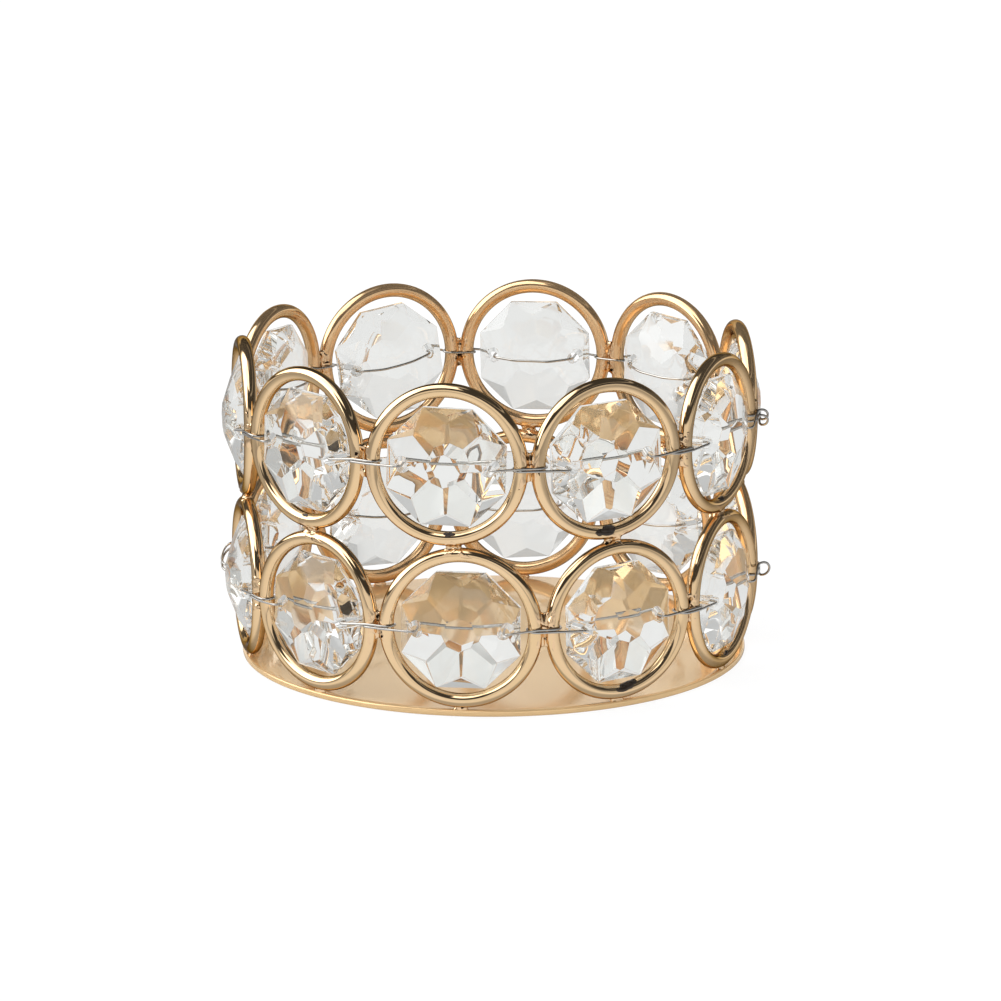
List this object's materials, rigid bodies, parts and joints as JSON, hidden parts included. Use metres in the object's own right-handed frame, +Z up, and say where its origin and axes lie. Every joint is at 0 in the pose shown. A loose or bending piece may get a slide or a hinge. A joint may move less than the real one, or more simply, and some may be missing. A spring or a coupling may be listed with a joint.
{
  "type": "crystal tealight holder",
  "caption": "Round open basket of brazed wire rings in two tiers on a flat disc, each ring holding a hanging cut crystal, for a tealight.",
  "frame": {"origin": "middle of the disc's underside, on the table", "axes": "+Z up along the basket's axis; -Y faces the front, where the first ring of the upper row stands"},
  "size_m": [0.0846, 0.084, 0.051],
  "materials": {
    "disc_metal": "satin, brushed",
    "ring_metal": "polished",
    "tie_wire_metal": "bright drawn wire",
    "crystal_glass": "clear, polished facets"
  },
  "bodies": {
    "holder": {"base_disc": "disc_metal", "lower_ring_01": "ring_metal", "lower_ring_02": "ring_metal", "lower_ring_03": "ring_metal", "lower_ring_04": "ring_metal", "lower_ring_05": "ring_metal", "lower_ring_06": "ring_metal", "lower_ring_07": "ring_metal", "lower_ring_08": "ring_metal", "lower_ring_09": "ring_metal", "lower_ring_10": "ring_metal", "upper_ring_01": "ring_metal", "upper_ring_02": "ring_metal", "upper_ring_03": "ring_metal", "upper_ring_04": "ring_metal", "upper_ring_05": "ring_metal", "upper_ring_06": "ring_metal", "upper_ring_07": "ring_metal", "upper_ring_08": "ring_metal", "upper_ring_09": "ring_metal", "upper_ring_10": "ring_metal", "lower_tie_wire": "tie_wire_metal", "upper_tie_wire": "tie_wire_metal"},
    "lower_crystal_01": {"lower_crystal_01": "crystal_glass"},
    "lower_crystal_02": {"lower_crystal_02": "crystal_glass"},
    "lower_crystal_03": {"lower_crystal_03": "crystal_glass"},
    "lower_crystal_04": {"lower_crystal_04": "crystal_glass"},
    "lower_crystal_05": {"lower_crystal_05": "crystal_glass"},
    "lower_crystal_06": {"lower_crystal_06": "crystal_glass"},
    "lower_crystal_07": {"lower_crystal_07": "crystal_glass"},
    "lower_crystal_08": {"lower_crystal_08": "crystal_glass"},
    "lower_crystal_09": {"lower_crystal_09": "crystal_glass"},
    "lower_crystal_10": {"lower_crystal_10": "crystal_glass"},
    "upper_crystal_01": {"upper_crystal_01": "crystal_glass"},
    "upper_crystal_02": {"upper_crystal_02": "crystal_glass"},
    "upper_crystal_03": {"upper_crystal_03": "crystal_glass"},
    "upper_crystal_04": {"upper_crystal_04": "crystal_glass"},
    "upper_crystal_05": {"upper_crystal_05": "crystal_glass"},
    "upper_crystal_06": {"upper_crystal_06": "crystal_glass"},
    "upper_crystal_07": {"upper_crystal_07": "crystal_glass"},
    "upper_crystal_08": {"upper_crystal_08": "crystal_glass"},
    "upper_crystal_09": {"upper_crystal_09": "crystal_glass"},
    "upper_crystal_10": {"upper_crystal_10": "crystal_glass"}
  },
  "joints": [
    {"name": "lower_crystal_01_swing", "type": "hinge", "parent": "holder", "child": "lower_crystal_01", "pos_m": [0.00202, -0.03862, 0.01365], "axis": [0.9986, 0.0523, 0], "range_deg": [-8, 8]},
    {"name": "lower_crystal_02_swing", "type": "hinge", "parent": "holder", "child": "lower_crystal_02", "pos_m": [0.02433, -0.03005, 0.01365], "axis": [0.7771, 0.6293, 0], "range_deg": [-8, 8]},
    {"name": "lower_crystal_03_swing", "type": "hinge", "parent": "holder", "child": "lower_crystal_03", "pos_m": [0.03735, -0.01001, 0.01365], "axis": [0.2588, 0.9659, 0], "range_deg": [-8, 8]},
    {"name": "lower_crystal_04_swing", "type": "hinge", "parent": "holder", "child": "lower_crystal_04", "pos_m": [0.0361, 0.01386, 0.01365], "axis": [-0.3584, 0.9336, 0], "range_deg": [-8, 8]},
    {"name": "lower_crystal_05_swing", "type": "hinge", "parent": "holder", "child": "lower_crystal_05", "pos_m": [0.02106, 0.03243, 0.01365], "axis": [-0.8387, 0.5446, 0], "range_deg": [-8, 8]},
    {"name": "lower_crystal_06_swing", "type": "hinge", "parent": "holder", "child": "lower_crystal_06", "pos_m": [-0.00202, 0.03862, 0.01365], "axis": [-0.9986, -0.0523, 0], "range_deg": [-8, 8]},
    {"name": "lower_crystal_07_swing", "type": "hinge", "parent": "holder", "child": "lower_crystal_07", "pos_m": [-0.02433, 0.03005, 0.01365], "axis": [-0.7771, -0.6293, 0], "range_deg": [-8, 8]},
    {"name": "lower_crystal_08_swing", "type": "hinge", "parent": "holder", "child": "lower_crystal_08", "pos_m": [-0.03735, 0.01001, 0.01365], "axis": [-0.2588, -0.9659, 0], "range_deg": [-8, 8]},
    {"name": "lower_crystal_09_swing", "type": "hinge", "parent": "holder", "child": "lower_crystal_09", "pos_m": [-0.0361, -0.01386, 0.01365], "axis": [0.3584, -0.9336, 0], "range_deg": [-8, 8]},
    {"name": "lower_crystal_10_swing", "type": "hinge", "parent": "holder", "child": "lower_crystal_10", "pos_m": [-0.02106, -0.03243, 0.01365], "axis": [0.8387, -0.5446, 0], "range_deg": [-8, 8]},
    {"name": "upper_crystal_01_swing", "type": "hinge", "parent": "holder", "child": "upper_crystal_01", "pos_m": [0, -0.03867, 0.03865], "axis": [1, 0, 0], "range_deg": [-8, 8]},
    {"name": "upper_crystal_02_swing", "type": "hinge", "parent": "holder", "child": "upper_crystal_02", "pos_m": [0.02273, -0.03128, 0.03865], "axis": [0.809, 0.5878, 0], "range_deg": [-8, 8]},
    {"name": "upper_crystal_03_swing", "type": "hinge", "parent": "holder", "child": "upper_crystal_03", "pos_m": [0.03678, -0.01195, 0.03865], "axis": [0.309, 0.9511, 0], "range_deg": [-8, 8]},
    {"name": "upper_crystal_04_swing", "type": "hinge", "parent": "holder", "child": "upper_crystal_04", "pos_m": [0.03678, 0.01195, 0.03865], "axis": [-0.309, 0.9511, 0], "range_deg": [-8, 8]},
    {"name": "upper_crystal_05_swing", "type": "hinge", "parent": "holder", "child": "upper_crystal_05", "pos_m": [0.02273, 0.03128, 0.03865], "axis": [-0.809, 0.5878, 0], "range_deg": [-8, 8]},
    {"name": "upper_crystal_06_swing", "type": "hinge", "parent": "holder", "child": "upper_crystal_06", "pos_m": [0, 0.03867, 0.03865], "axis": [-1, 0, 0], "range_deg": [-8, 8]},
    {"name": "upper_crystal_07_swing", "type": "hinge", "parent": "holder", "child": "upper_crystal_07", "pos_m": [-0.02273, 0.03128, 0.03865], "axis": [-0.809, -0.5878, 0], "range_deg": [-8, 8]},
    {"name": "upper_crystal_08_swing", "type": "hinge", "parent": "holder", "child": "upper_crystal_08", "pos_m": [-0.03678, 0.01195, 0.03865], "axis": [-0.309, -0.9511, 0], "range_deg": [-8, 8]},
    {"name": "upper_crystal_09_swing", "type": "hinge", "parent": "holder", "child": "upper_crystal_09", "pos_m": [-0.03678, -0.01195, 0.03865], "axis": [0.309, -0.9511, 0], "range_deg": [-8, 8]},
    {"name": "upper_crystal_10_swing", "type": "hinge", "parent": "holder", "child": "upper_crystal_10", "pos_m": [-0.02273, -0.03128, 0.03865], "axis": [0.809, -0.5878, 0], "range_deg": [-8, 8]}
  ]
}
